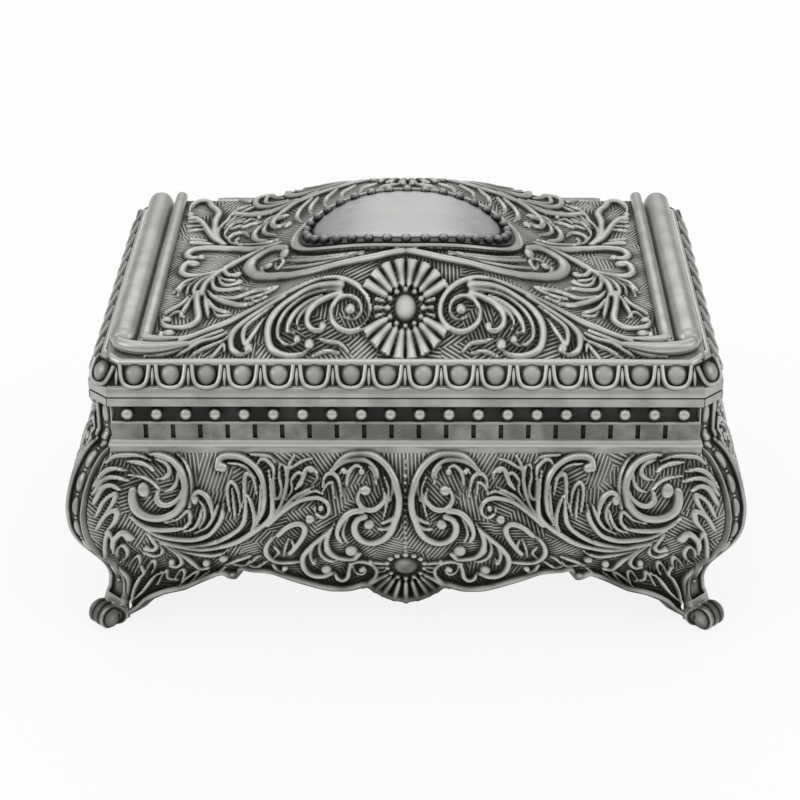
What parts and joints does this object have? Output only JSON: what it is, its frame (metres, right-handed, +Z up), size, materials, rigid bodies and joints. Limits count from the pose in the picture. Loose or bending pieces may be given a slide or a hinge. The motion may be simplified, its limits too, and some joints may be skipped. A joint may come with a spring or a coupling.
{
  "type": "trinket box",
  "caption": "Footed metal keepsake box with bellied sides and scrolled corner feet, a humped lid on rear hinges with side rails and an oval plaque, and a padded lining.",
  "frame": {"origin": "under the middle of the closed box, on the plane that its feet stand on", "axes": "+X to the right seen from the front, +Y to the rear with the hinges, +Z up"},
  "size_m": [0.1506, 0.1076, 0.0825],
  "materials": {
    "antique_pewter": "antiqued pewter-coloured casting, rubbed bright on its high places",
    "brushed_pewter": "brushed, satin",
    "hinge_steel": "satin, antiqued",
    "velvet": "dark velvet"
  },
  "bodies": {
    "box": {"front_panel": "antique_pewter", "rear_panel": "antique_pewter", "left_panel": "antique_pewter", "right_panel": "antique_pewter", "corner_post_front_left": "antique_pewter", "corner_post_front_right": "antique_pewter", "corner_post_rear_left": "antique_pewter", "corner_post_rear_right": "antique_pewter", "floor_plate": "antique_pewter", "floor_pad": "velvet", "front_lining": "velvet", "rear_lining": "velvet", "left_lining": "velvet", "right_lining": "velvet", "hinge_left_body_leaf": "hinge_steel", "hinge_left_pin": "hinge_steel", "hinge_left_body_screw_1": "hinge_steel", "hinge_left_body_screw_2": "hinge_steel", "hinge_right_body_leaf": "hinge_steel", "hinge_right_pin": "hinge_steel", "hinge_right_body_screw_1": "hinge_steel", "hinge_right_body_screw_2": "hinge_steel"},
    "lid": {"lid_casting": "antique_pewter", "name_plaque": "brushed_pewter", "lid_lining": "velvet", "hinge_left_lid_leaf": "hinge_steel", "hinge_left_lid_screw_1": "hinge_steel", "hinge_left_lid_screw_2": "hinge_steel", "hinge_right_lid_leaf": "hinge_steel", "hinge_right_lid_screw_1": "hinge_steel", "hinge_right_lid_screw_2": "hinge_steel"}
  },
  "joints": [
    {"name": "lid_hinge", "type": "hinge", "parent": "box", "child": "lid", "pos_m": [0, 0.0499, 0.05795], "axis": [-1, 0, 0], "range_deg": [0, 105]}
  ]
}
